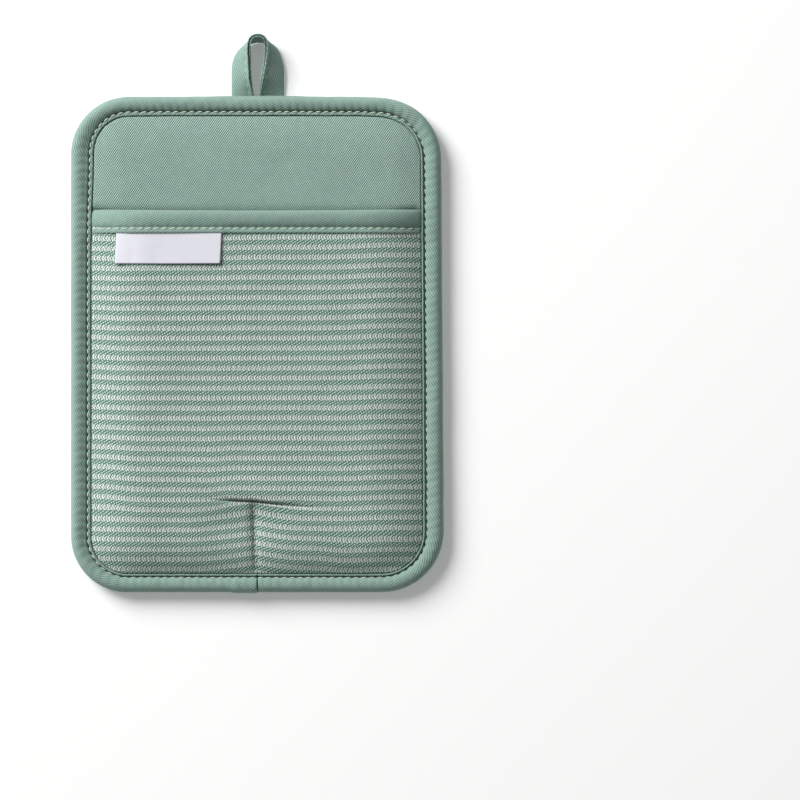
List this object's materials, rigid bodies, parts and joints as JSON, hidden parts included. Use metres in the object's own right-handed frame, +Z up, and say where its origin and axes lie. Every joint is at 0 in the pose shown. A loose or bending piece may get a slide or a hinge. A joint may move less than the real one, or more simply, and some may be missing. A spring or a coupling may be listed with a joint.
{
  "type": "pot holder",
  "caption": "Padded cloth pot holder with a striped hand pocket, ribbed silicone back, twill binding and a hanging loop, lying flat.",
  "frame": {"origin": "under the middle of the whole piece, body and loop, at the height of the surface it lies on", "axes": "+Z up through the holder, out of the pocket side; +Y towards the hanging loop; +X to the right seen from above"},
  "size_m": [0.1779, 0.2664, 0.0161],
  "materials": {
    "panel_twill": "soft cotton twill, matt, steep fine diagonal, mixed yarn",
    "binding_twill": "firm cotton twill tape, matt, diagonal ribs, beige topstitching",
    "striped_cloth": "coarse woven cotton, narrow green and natural white stripes across",
    "ribbed_silicone": "moulded silicone, satin, narrow round ribs across",
    "label_satin": "white woven tape, bare, slight sheen"
  },
  "bodies": {
    "root": {"silicone_back": "ribbed_silicone", "padded_panel": "panel_twill", "pocket_panel": "striped_cloth", "pocket_binding": "binding_twill", "label": "label_satin", "edge_binding": "binding_twill", "hanging_loop": "binding_twill"}
  },
  "joints": []
}
